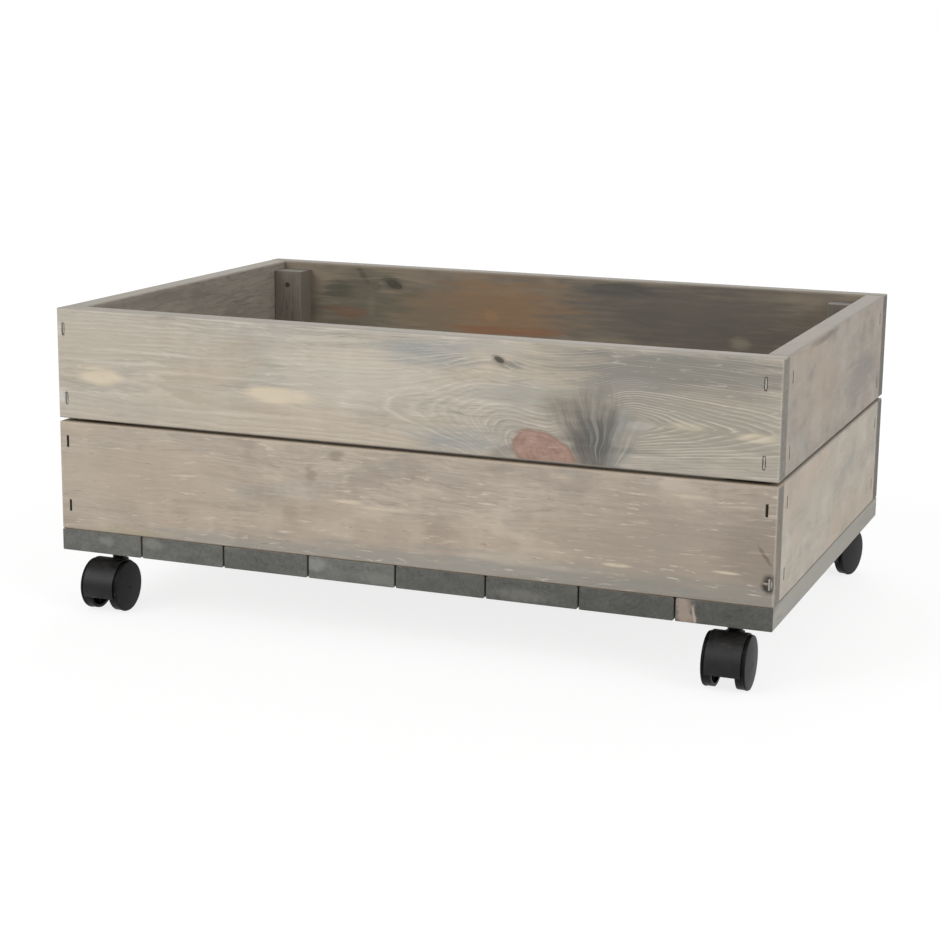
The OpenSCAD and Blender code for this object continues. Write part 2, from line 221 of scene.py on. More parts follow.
def wood_fibre():
    """Fine fibres that sway a little, broader streaks, short dark flecks, chalky flecks in crowds,
    slow drifts of tone, and the ripples that run across the grain. Most of them read their noise some
    way off from the rest, so that they don't line up."""
    mix, given, hand_out = new_effect(
        "Wood fibre", {"Lot": "Vector"}, ("Fibre", "Streak", "Fleck", "Chalk", "Drift", "Bloom", "Ripple"))
    sway = mix.stray(given["Lot"], (75, 30, 30))
    lot = mix.vector("ADD", given["Lot"], mix.vector("MULTIPLY", sway, (0, FIBRE_SWAY, FIBRE_SWAY)))
    fibre = mix.noise(lot, (34, 1.2, 1.2), detail=3, rough=0.6)
    streak = mix.noise(lot, (95, 4.5, 4.5), detail=2.5, rough=0.55)
    fleck = mix.rise(mix.noise(mix.vector("ADD", lot, (0, 311, 0)), (14, 1.8, 1.8)), 0.66, 0.78)
    chalk = mix.rise(mix.noise(mix.vector("ADD", lot, (0, 0, 523)), (17, 2.2, 2.2), detail=3), 0.6, 0.7)
    crowd = mix.rise(mix.noise(mix.vector("ADD", lot, (53, 0, 0)), (80, 22, 22), detail=2), 0.36, 0.6)
    chalk = mix.number("MULTIPLY", chalk, mix.number("MULTIPLY_ADD", crowd, 0.75, 0.25))
    drift = mix.noise(lot, (170, 48, 48), detail=2)
    bloom = mix.noise(mix.vector("ADD", lot, (97, 0, 0)), (70, 26, 26), detail=3, rough=0.6)
    ripple = mix.noise(mix.vector("ADD", lot, (0, 57, 0)), (17, 60, 60), detail=2)
    return hand_out(fibre, streak, fleck, chalk, drift, bloom, ripple)


def knot_heart():
    """A knot that runs through the board: its heart, its dark bark line, its clouded tone, and the
    stained wood round it. Slant is how far it leans along the grain for each mm downward."""
    takes = {"Place": "Vector", "Lot": "Vector", "Middle": "Vector", "Reach": "Vector", "Slant": "Float"}
    mix, given, hand_out = new_effect("Knot", takes, ("Heart", "Bark", "Cloud", "Halo"))
    along, across, out = mix.parts(mix.vector("SUBTRACT", given["Place"], given["Middle"]))
    leaning = mix.join(mix.number("MULTIPLY_ADD", across, given["Slant"], along), across, out)
    off = mix.vector("DIVIDE", leaning, given["Reach"])
    wobble = mix.scaled(mix.noise(given["Lot"], (14, 12, 12), output="Color"), KNOT_WOBBLE)
    bent = mix.vector("ADD", off, wobble)
    far = mix.vector("LENGTH", mix.vector("SUBTRACT", bent, (KNOT_WOBBLE / 2,) * 3))
    heart = mix.fall(far, 0.93, 1.0)
    bark = mix.number("MULTIPLY", mix.rise(far, 0.86, 0.98), mix.fall(far, 0.98, 1.1))
    years = mix.number("MULTIPLY", far, 4.5)
    year = mix.number("FRACT", mix.number("MULTIPLY_ADD", mix.noise(given["Lot"], (9, 9, 9)), 1.4, years))
    clotted = mix.rise(mix.noise(given["Lot"], (14, 7, 7), detail=4, rough=0.65), 0.35, 0.7, top=0.75)
    cloud = mix.number("MULTIPLY_ADD", mix.rise(year, 0.3, 0.95), 0.26, clotted)
    halo = mix.number("MULTIPLY", mix.rise(far, 0.95, 1.05), mix.fall(far, 1.0, 2.1))
    return hand_out(heart, bark, cloud, halo)


def fanned_grain():
    """Dark grain that fans out upward from Base, as it does beside a knot. Lean and Spread are the
    direction and half the width of the fan, as angles from straight across the board."""
    takes = {"Place": "Vector", "Lot": "Vector", "Base": "Vector", "Lean": "Float", "Spread": "Float",
             "Reach": "Float"}
    mix, given, hand_out = new_effect("Fanned grain", takes, ("Amount", "Hair"))
    along, across, _ = mix.parts(mix.vector("SUBTRACT", given["Place"], given["Base"]))
    far = mix.number("DIVIDE", mix.vector("LENGTH", mix.join(along, across, 0.0)), given["Reach"])
    wave = mix.number("MULTIPLY_ADD", mix.noise(given["Lot"], (40, 34, 34), detail=2), 0.2, -0.1)
    angle = mix.number("ADD", mix.number("ARCTAN2", along, across), wave)
    leaned = mix.number("SUBTRACT", angle, given["Lean"])
    opened = mix.number("DIVIDE", leaned, mix.number("MULTIPLY_ADD", far, 0.9, 0.6))
    combed = mix.join(mix.number("MULTIPLY", opened, 46.0), mix.number("MULTIPLY", far, 2.2), 7.0)
    hair = mix.noise(combed, (1.5, 1, 1), detail=4, rough=0.68)
    ragged = mix.number("MULTIPLY_ADD", mix.noise(given["Lot"], (16, 13, 13), detail=3), 0.7, -0.35)
    aside = mix.number("DIVIDE", mix.number("ABSOLUTE", leaned), given["Spread"])
    aside = mix.number("ADD", aside, ragged)
    top = mix.number("MULTIPLY_ADD", hair, 0.2, mix.number("MULTIPLY_ADD", ragged, 0.4, far))
    amount = mix.number("MULTIPLY", mix.fall(aside, 0.4, 1.25), mix.fall(top, 0.6, 1.2))
    return hand_out(amount, hair)


def grain_bend():
    """How far the growth rings swell away from a knot: nothing at its middle, rising to Lift far off.
    Before and After are how far the bend reaches along the grain on either side, and Climb is how far
    its line rises across the board away from the knot. Near is 1 at the knot and falls off with the
    bend."""
    takes = {"Place": "Vector", "Middle": "Vector", "Before": "Float", "After": "Float",
             "Across": "Float", "Lift": "Float", "Climb": "Float"}
    mix, given, hand_out = new_effect("Grain bend", takes, ("Swell", "Near"))
    along, across, _ = mix.parts(mix.vector("SUBTRACT", given["Place"], given["Middle"]))
    away = mix.number("ABSOLUTE", along)
    climbed = mix.number("MULTIPLY", mix.rise(away, 0, CLIMB_LENGTH), given["Climb"])
    across = mix.number("SUBTRACT", across, climbed)
    longer = mix.number("SUBTRACT", given["After"], given["Before"])
    longer = mix.number("MULTIPLY", mix.rise(along, -BEND_CHANGE, BEND_CHANGE), longer)
    span = mix.number("ADD", given["Before"], longer)
    off = mix.join(mix.number("DIVIDE", along, span), mix.number("DIVIDE", across, given["Across"]), 0.0)
    aside = mix.number("ABSOLUTE", mix.parts(off)[1])
    pointed = mix.number("MULTIPLY_ADD", aside, 0.4, mix.vector("LENGTH", off))
    near = mix.number("EXPONENT", mix.number("MULTIPLY", pointed, -1.0))
    swell = mix.number("MULTIPLY", mix.number("SUBTRACT", 1.0, near), given["Lift"])
    return hand_out(swell, near)


def soft_stain():
    """A cloudy patch with ragged, streaked borders. Slant is how far it leans: along the grain for
    each mm downward, and across the board for each mm inward. Ragged is how far its border strays,
    as a share of its reach."""
    takes = {"Place": "Vector", "Lot": "Vector", "Middle": "Vector", "Reach": "Vector", "Slant": "Vector",
             "Ragged": "Float"}
    mix, given, hand_out = new_effect("Soft stain", takes, ("Amount",))
    along, across, out = mix.parts(mix.vector("SUBTRACT", given["Place"], given["Middle"]))
    slant_along, slant_across, _ = mix.parts(given["Slant"])
    along = mix.number("MULTIPLY_ADD", across, slant_along, along)
    across = mix.number("MULTIPLY_ADD", out, slant_across, across)
    off = mix.vector("DIVIDE", mix.join(along, across, out), given["Reach"])
    stray = mix.scaled(mix.stray(given["Lot"], (46, 5, 5), detail=3), given["Ragged"])
    far = mix.vector("LENGTH", mix.vector("ADD", off, stray))
    return hand_out(mix.fall(far, 0.35, 1.1))


def rubbed_arris():
    """Where the edges of a board of the given half size are rubbed."""
    takes = {"Place": "Vector", "Lot": "Vector", "Half": "Vector", "Width": "Float"}
    mix, given, hand_out = new_effect("Rubbed arris", takes, ("Amount",))
    a, b, c = mix.parts(mix.vector("SUBTRACT", given["Half"], mix.vector("ABSOLUTE", given["Place"])))
    nearer, farther = mix.number("MINIMUM", a, b), mix.number("MAXIMUM", a, b)
    to_edge = mix.number("MAXIMUM", nearer, mix.number("MINIMUM", farther, c))
    uneven = mix.number("MULTIPLY_ADD", mix.noise(given["Lot"], (30, 12, 12), detail=3), 1.5, 0.2)
    return hand_out(mix.fall(mix.number("DIVIDE", to_edge, given["Width"]), 0.15, uneven))


RINGS = growth_rings()
FIBRE = wood_fibre()
KNOT = knot_heart()
FAN = fanned_grain()
BEND = grain_bend()
STAIN = soft_stain()
ARRIS = rubbed_arris()


# ---------------------------------------------------------------- boards

# The way a board lies: unit vectors along its grain, across it, and out of the crate.
Lie = namedtuple("Lie", "along across out")
LIES = {
    "front_board": Lie((1, 0, 0), (0, 0, 1), (0, -1, 0)),
    "back_board": Lie((-1, 0, 0), (0, 0, 1), (0, 1, 0)),
    "right_board": Lie((0, 1, 0), (0, 0, 1), (1, 0, 0)),
    "left_board": Lie((0, -1, 0), (0, 0, 1), (-1, 0, 0)),
    "base_slat": Lie((0, 1, 0), (1, 0, 0), (0, 0, -1)),
    "corner_post": Lie((0, 0, 1), (1, 0, 0), (0, 1, 0)),
}

# A wash of stain: its tone on the face, where it is thin and thick, where it turned cool and warm,
# on the inside of the crate, where it is also darkened as painted shade, where it is thin and thick there,
# where the end grain drank it and on the narrow edges; then how far the arrises are rubbed.
Wash = namedtuple("Wash", "face pale dark cool warm inside inside_pale inside_dark end edge rubbed")
UPPER_WASH = Wash(
    face=srgb(184, 176, 163), pale=srgb(214, 205, 192), dark=srgb(140, 133, 122),
    cool=srgb(167, 164, 156), warm=srgb(190, 176, 157),
    inside=srgb(128, 119, 105), inside_pale=srgb(146, 136, 120), inside_dark=srgb(100, 96, 87),
    end=srgb(122, 117, 109), edge=srgb(144, 139, 130), rubbed=0.25)
LOWER_WASH = UPPER_WASH._replace(
    face=srgb(177, 165, 151), pale=srgb(206, 193, 176), dark=srgb(142, 131, 119),
    cool=srgb(160, 155, 147), warm=srgb(182, 165, 148),
    end=srgb(118, 113, 105), edge=srgb(152, 136, 116), rubbed=0.4)
SIDE_WASH = UPPER_WASH._replace(
    face=srgb(184, 175, 162), pale=srgb(200, 191, 178), dark=srgb(158, 149, 138),
    cool=srgb(160, 156, 149), warm=srgb(188, 172, 156),
    inside=srgb(152, 144, 133), inside_pale=srgb(170, 161, 148), inside_dark=srgb(122, 116, 108))
DULL_SIDE_WASH = SIDE_WASH._replace(
    face=srgb(161, 152, 141), pale=srgb(176, 166, 155), dark=srgb(138, 131, 122), warm=srgb(170, 156, 141))
BACK_WASH = UPPER_WASH._replace(
    face=srgb(168, 158, 144), inside=srgb(142, 130, 113), inside_pale=srgb(162, 149, 130),
    inside_dark=srgb(112, 105, 94), end=srgb(100, 97, 91), edge=srgb(128, 122, 113))
# On the slats the edge tone is dark: painted shade of the narrow seams between them.
SLAT_WASH = UPPER_WASH._replace(
    face=srgb(160, 157, 147), pale=srgb(176, 172, 161), dark=srgb(134, 131, 123),
    cool=srgb(146, 147, 142), warm=srgb(164, 153, 140), edge=srgb(56, 53, 48), rubbed=0.0)
POST_WASH = UPPER_WASH._replace(
    face=srgb(122, 115, 104), pale=srgb(140, 132, 120), dark=srgb(94, 88, 80),
    cool=srgb(112, 110, 103), warm=srgb(130, 120, 107),
    inside=srgb(122, 115, 104), inside_pale=srgb(140, 132, 120), inside_dark=srgb(98, 92, 84),
    end=srgb(98, 92, 84), edge=srgb(116, 109, 99))

# The log a board came from: how far across and out of the board its pith lies, how wide its years
# are and how much its rings wander, in mm; then how clearly its rings, its short dashes, its fibres,
# its blotches and its ripples show.
Log = namedtuple("Log", "across out year wander figure dashes fibres blotches ripples",
                 defaults=(0.35, 0.6, 1.0, 0.4, 0.15))

# Marks of single boards. Middle, reach and base are (along, across, out) in mm. The grain round a
# knot bends, by before, after, across, lift and climb, about a point that lies the knot's sink
# below its middle. A stain is on the board's face, on its end grain or on its narrow edge, and the
# stains of a board are laid on in their order, each over those before it.
Knot = namedtuple("Knot", "middle reach before after across lift climb heart cloud bark halo slant sink",
                  defaults=(0.0, 0.0))
Stain = namedtuple("Stain", "middle reach tone amount slant ragged on", defaults=((0, 0, 0), 1.1, "face"))
Fan = namedtuple("Fan", "base lean spread reach hair tone amount")


def tally(board):
    """The number of a board among the pieces of the planter, which sets its lot."""
    return sorted(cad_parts).index(board) + 1


LOT_STEP = (1700.0, 430.0, 90.0)    # mm from the noise of one board to that of the next
ARRIS_WIDTH = 2.2                   # mm
WOOD_RELIEF = 0.0004                # metres


class BoardFinish(Recipe):
    """The finish of one board, each part of it by its place in the board. Coat lays it on."""

    def __init__(self, tree, board, lie, wash, log, marks):
        super().__init__(tree)
        self.wash = wash
        self.log = log
        self.marks = marks
        self.find_places(board, lie)
        self.fibre = self.effect(FIBRE, lot=self.lot)
        # Body is how pale the fibres and streaks leave the wash: about a half on the whole.
        body = self.number("MULTIPLY_ADD", self.fibre["Fibre"], 0.8 * log.fibres, 0.5 - 0.7 * log.fibres)
        self.body = self.number("MULTIPLY_ADD", self.fibre["Streak"], 0.6 * log.fibres, body)
        # Inside the crate these tones are the darker inside ones, which carry painted shade.
        self.line_tone = self.cover(wash.pale, wash.inside_pale, self.inner)
        self.shade_tone = self.cover(wash.dark, wash.inside_dark, self.inner)
        self.grow_rings()
        self.spread_fans()

    def marks_of(self, kind):
        return [mark for mark in self.marks if isinstance(mark, kind)]

    def find_places(self, board, lie):
        """Where each point lies in the board, and which way it faces."""
        low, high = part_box(board)
        middle = (low + high) / 2
        half = (high - low) / 2 * TO_MM
        spots = self.add("TexCoord").outputs
        from_middle = self.scaled(self.vector("SUBTRACT", spots["Object"], middle), TO_MM)
        self.place = self.join(*(self.vector("DOT_PRODUCT", from_middle, way) for way in lie))
        self.lot = self.vector("ADD", self.place, tuple(step * tally(board) for step in LOT_STEP))
        self.half = [abs(Vector(way).dot(half)) for way in lie]
        along, across, out = (self.vector("DOT_PRODUCT", spots["Normal"], way) for way in lie)
        self.inner = self.fall(out, -0.7, -0.3)
        self.at_end = self.rise(self.number("ABSOLUTE", along), 0.5, 0.75)
        self.at_edge = self.rise(self.number("ABSOLUTE", across), 0.35, 0.75, top=0.75)

    def grow_rings(self):
        """The growth rings, swollen at the knots, and how strongly their early and late wood shows."""
        swell = 0.0
        figure = self.log.figure
        for knot in self.marks_of(Knot):
            centre = (knot.middle[0], knot.middle[1] - knot.sink, knot.middle[2])
            bend = self.effect(BEND, place=self.place, middle=centre, before=knot.before, after=knot.after,
                               across=knot.across, lift=knot.lift, climb=knot.climb)
            swell = self.number("ADD", swell, bend["Swell"])
            figure = self.number("MAXIMUM", figure, self.rise(bend["Near"], 0.06, 0.45, top=1.45))
        pith = (0.0, self.log.across, self.log.out)
        self.rings = self.effect(RINGS, place=self.place, lot=self.lot, pith=pith, width=self.log.year,
                                 wander=self.log.wander, swell=swell)
        clear = self.number("MULTIPLY", figure, self.rise(self.fibre["Streak"], 0.25, 0.6))
        clear = self.number("MULTIPLY", clear, self.fall(self.fibre["Bloom"], 0.5, 0.85))
        tone = self.rings["Tone"]
        bright = self.number("MULTIPLY_ADD", self.number("POWER", tone, 1.6), 1.0, 0.15)
        early = self.number("MULTIPLY", self.rings["Early"], bright)
        self.early = self.number("MULTIPLY", early, clear)
        late = self.number("MULTIPLY", self.rings["Late"], self.number("MULTIPLY_ADD", tone, -0.35, 0.5))
        self.late = self.number("MULTIPLY", late, clear)

    def spread_fans(self):
        """The fans of dark grain, and how far the rest of the board is free of them."""
        self.fans = []
        self.bare = 1.0
        for mark in self.marks_of(Fan):
            fan = self.effect(FAN, place=self.place, lot=self.lot, base=mark.base, lean=mark.lean,
                              spread=mark.spread, reach=mark.reach)
            self.fans.append((mark, fan))
            self.bare = self.number("MULTIPLY", self.fall(fan["Amount"], 0.0, 0.45), self.bare)

    def washed_face(self):
        """The wash on the outside: thin and thick with the fibres, cool and warm in slow drifts."""
        wash, body, fibre = self.wash, self.body, self.fibre
        colour = self.cover(wash.dark, wash.face, self.rise(body, 0.14, 0.54))
        colour = self.cover(colour, wash.pale, self.rise(body, 0.5, 0.8, top=0.95))
        colour = self.cover(colour, wash.cool, self.rise(fibre["Bloom"], 0.48, 0.7, top=0.75))
        colour = self.cover(colour, wash.warm, self.fall(fibre["Drift"], 0.34, 0.52, top=0.7))
        blotch = self.noise(self.lot, (44, 26, 26), detail=3, rough=0.55)
        colour = self.cover(colour, wash.dark, self.rise(blotch, 0.5, 0.7, top=self.log.blotches))
        colour = self.cover(colour, wash.pale, self.fall(blotch, 0.32, 0.48, top=self.log.blotches))
        ripples = self.log.ripples
        colour = self.cover(colour, wash.pale, self.rise(fibre["Ripple"], 0.52, 0.72, top=ripples))
        return self.cover(colour, wash.dark, self.fall(fibre["Ripple"], 0.28, 0.46, top=ripples / 2))

    def wash_and_shade_inside(self):
        """The duller wash on what faces into the crate, darkened further as painted shade."""
        wash, body = self.wash, self.body
        inside = self.cover(wash.inside_dark, wash.inside, self.rise(body, 0.25, 0.5))
        inside = self.cover(inside, wash.inside_pale, self.rise(body, 0.5, 0.8, top=0.7))
        return self.cover(inside, wash.inside_dark, self.rise(self.fibre["Bloom"], 0.45, 0.7, top=0.6))

    def stained(self, under, on):
        """The colour under with the stains on it that lie on the face, the end or the edge."""
        for mark in self.marks_of(Stain):
            if mark.on == on:
                spot = self.effect(STAIN, place=self.place, lot=self.lot, middle=mark.middle,
                                   reach=mark.reach, slant=mark.slant, ragged=mark.ragged)
                taken = self.number("MULTIPLY_ADD", self.body, -0.3, 1.1)
                grained = self.number("MULTIPLY", spot["Amount"], taken)
                under = self.cover(under, mark.tone, self.number("MULTIPLY", grained, mark.amount))
        return under

    def ringed(self, colour):
        """The colour with the dark and pale lines of the rings, but for the fans."""
        late = self.number("MULTIPLY", self.number("MULTIPLY", self.late, 0.8), self.bare)
        colour = self.cover(colour, self.shade_tone, late)
        early = self.number("MULTIPLY", self.number("MULTIPLY", self.early, 0.8), self.bare)
        return self.cover(colour, self.line_tone, early)

    def fanned(self, colour):
        """The colour with the fans of grain combed over it."""
        for mark, fan in self.fans:
            grey = self.cover(mark.tone, mark.hair, self.rise(fan["Hair"], 0.4, 0.72))
            colour = self.cover(colour, grey, self.number("MULTIPLY", fan["Amount"], mark.amount))
        return colour

    def knotted(self, colour):
        """The colour with the knots in it, each with its heart, its bark and the tone round it."""
        for knot in self.marks_of(Knot):
            spot = self.effect(KNOT, place=self.place, lot=self.lot, middle=knot.middle, reach=knot.reach,
                               slant=knot.slant)
            colour = self.cover(colour, knot.bark, self.number("MULTIPLY", spot["Halo"], knot.halo))
            clouded = self.cover(knot.heart, knot.cloud, spot["Cloud"])
            colour = self.cover(colour, clouded, self.number("MULTIPLY", spot["Heart"], 0.95))
            colour = self.cover(colour, knot.bark, self.number("MULTIPLY", spot["Bark"], 0.55))
        return colour

    def flecked(self, colour):
        """The colour with short chalky and dark dashes, but for the fans."""
        dashes = self.number("MULTIPLY", self.bare, self.log.dashes)
        chalk = self.number("MULTIPLY", self.fibre["Chalk"], dashes)
        colour = self.cover(colour, self.line_tone, chalk)
        fleck = self.number("MULTIPLY", self.fibre["Fleck"], dashes)
        return self.cover(colour, self.shade_tone, fleck)

    def end_grain(self):
        """The mottled, specked tone of the end grain, which drank the wash."""
        tone = self.scaled(self.wash.end[:3], self.number("MULTIPLY_ADD", self.fibre["Bloom"], 0.5, 0.75))
        mottle = self.noise(self.lot, (60, 3, 3), detail=4, rough=0.65)
        smudge = self.noise(self.lot, (60, 14, 6), detail=4, rough=0.6)
        blend = self.number("MULTIPLY_ADD", smudge, 0.8, self.number("MULTIPLY_ADD", mottle, 0.9, 0.15))
        tone = self.scaled(tone, blend)
        tone = self.cover(tone, self.wash.cool, self.number("MULTIPLY", self.rings["Early"], 0.05))
        speck = self.rise(self.noise(self.lot, (60, 1.6, 1.2), detail=2), 0.66, 0.74, top=0.3)
        return self.cover(tone, self.wash.cool, speck)

    def colour(self):
        """All tones of the board, from the wash up to the rubbed arrises."""
        # What faces into the crate takes the inside tones: a duller wash with painted shade in it.
        colour = self.cover(self.washed_face(), self.wash_and_shade_inside(), self.inner)
        colour = self.stained(colour, "face")
        colour = self.flecked(self.knotted(self.fanned(self.ringed(colour))))
        colour = self.cover(colour, self.stained(self.end_grain(), "end"), self.at_end)
        # On the slats the edge tone is a painted shade of the seams between them.
        colour = self.cover(colour, self.stained(self.wash.edge, "edge"), self.at_edge)
        arris = self.effect(ARRIS, place=self.place, lot=self.lot, half=self.half, width=ARRIS_WIDTH)
        return self.cover(colour, self.line_tone, self.number("MULTIPLY", arris["Amount"], self.wash.rubbed))

    def relief(self):
        """Fibres and late wood stand a little proud on the faces, and the dark flecks are sunk."""
        fibres = self.number("MULTIPLY", self.fibre["Fibre"], 0.7)
        height = self.number("MULTIPLY_ADD", self.late, 0.3, fibres)
        height = self.number("SUBTRACT", height, self.number("MULTIPLY", self.fibre["Fleck"], 0.4))
        height = self.number("MULTIPLY", height, self.number("MULTIPLY_ADD", self.at_end, -0.8, 1.0))
        bump = self.add("Bump", {"Strength": 0.3, "Distance": WOOD_RELIEF, "Height": height})
        return bump.outputs["Normal"]

    def coat(self):
        sheen = self.number("MULTIPLY_ADD", self.body, -0.12, 0.72)
        shader = self.add("BsdfPrincipled", {
            "Base Color": self.colour(), "Roughness": sheen, "Specular IOR Level": 0.35,
            "Normal": self.relief()})
        self.add("OutputMaterial", {"Surface": shader.outputs[0]})


def washed_wood(board, lie, wash, log, marks):
    """Grey-washed softwood for one board: rings, fibres, stains and knots."""
    material = new_material(board.capitalize() + "_wash")
    BoardFinish(material.node_tree, board, lie, wash, log, marks).coat()
    return material


CREAM = srgb(212, 198, 174)
CHALKY = srgb(208, 201, 188)
SLATE = srgb(112, 112, 108)
BLUED = srgb(150, 153, 152)
DRAB = srgb(142, 140, 135)
PALE_GREY = srgb(188, 184, 176)
GREEN_GREY = srgb(98, 94, 80)
RUST = srgb(148, 116, 84)
# The dark tone of the painted shadow round a staple.
STAPLE_SHADOW = srgb(72, 68, 62)
# The dark tone of the painted shade in a torn hole round a staple.
PAINTED_HOLE_SHADE = srgb(52, 48, 43)
BARE_EDGE = srgb(166, 163, 156)

FACE = 8.5                # mm from the middle of a wall board to either face
SOAK = 8                  # mm that a stain on a face goes into the board
THROUGH = 300             # mm, far more than a board is thick, for knots that go right through
FRONT_END = -200          # mm from the middle of a slat to its front end
END_SOAK = 10             # mm that a stain on an end goes into the slat
SLAT_HALF = 37            # mm from the middle of a slat to either narrow edge
WHOLE_EDGE = (420, 8, 40)    # mm, more than the whole edge of a slat
STAPLE_REACH = (1.9, 6.8)    # mm


def on_face(middle, reach, tone, amount, lean=0, ragged=1.1):
    """A stain on the outer face of a wall board. Lean is along the grain for each mm downward."""
    return Stain((*middle, FACE), (*reach, SOAK), tone, amount, (lean, 0, 0), ragged)


def on_inside(middle, reach, tone, amount, lean=0, ragged=1.1):
    """A stain on the side of a wall board that faces into the crate."""
    return Stain((*middle, -FACE), (*reach, SOAK), tone, amount, (lean, 0, 0), ragged)


def on_end(middle, reach, tone, amount, lean=0):
    """A stain on the front end of a slat. Its middle and reach are across the slat and downward, and
    its lean is across the slat for each mm upward."""
    return Stain((FRONT_END, *middle), (END_SOAK, *reach), tone, amount, (0, lean, 0), on="end")


def all_along_edge(across):
    """The bare tone of a slat's narrow edge, laid over the painted seam shade of the slats' edge tone."""
    return Stain((0, across, 0), WHOLE_EDGE, BARE_EDGE, 1.0, on="edge")


def painted_staple_shadow(along, across):
    """A painted shadow round a staple that sits deep in the front."""
    return on_face((along, across), STAPLE_REACH, STAPLE_SHADOW, 1.0, ragged=0.4)


KNOT_PINK = Knot(
    middle=(121, -39, 0), reach=(24, 18, THROUGH), before=40, after=165, across=38, lift=82, climb=36,
    heart=srgb(168, 138, 124), cloud=srgb(142, 110, 97), bark=srgb(132, 108, 94), halo=0.12,
    slant=0.5, sink=7)
KNOT_PIN = Knot(
    middle=(84, 29.5, 0), reach=(3.3, 2.4, THROUGH), before=46, after=24, across=8, lift=10, climb=0,
    heart=srgb(84, 79, 72), cloud=srgb(62, 57, 50), bark=srgb(62, 57, 51), halo=0.45, slant=0.8)
KNOT_INNER = Knot(
    middle=(186, 26, 0), reach=(3.2, 2.4, THROUGH), before=26, after=26, across=14, lift=3, climb=0,
    heart=srgb(112, 105, 90), cloud=srgb(88, 82, 70), bark=srgb(78, 73, 62), halo=0.4)
KNOT_ABOVE = KNOT_INNER._replace(middle=(-34, 56, 0), before=42, after=60, across=16, lift=30)

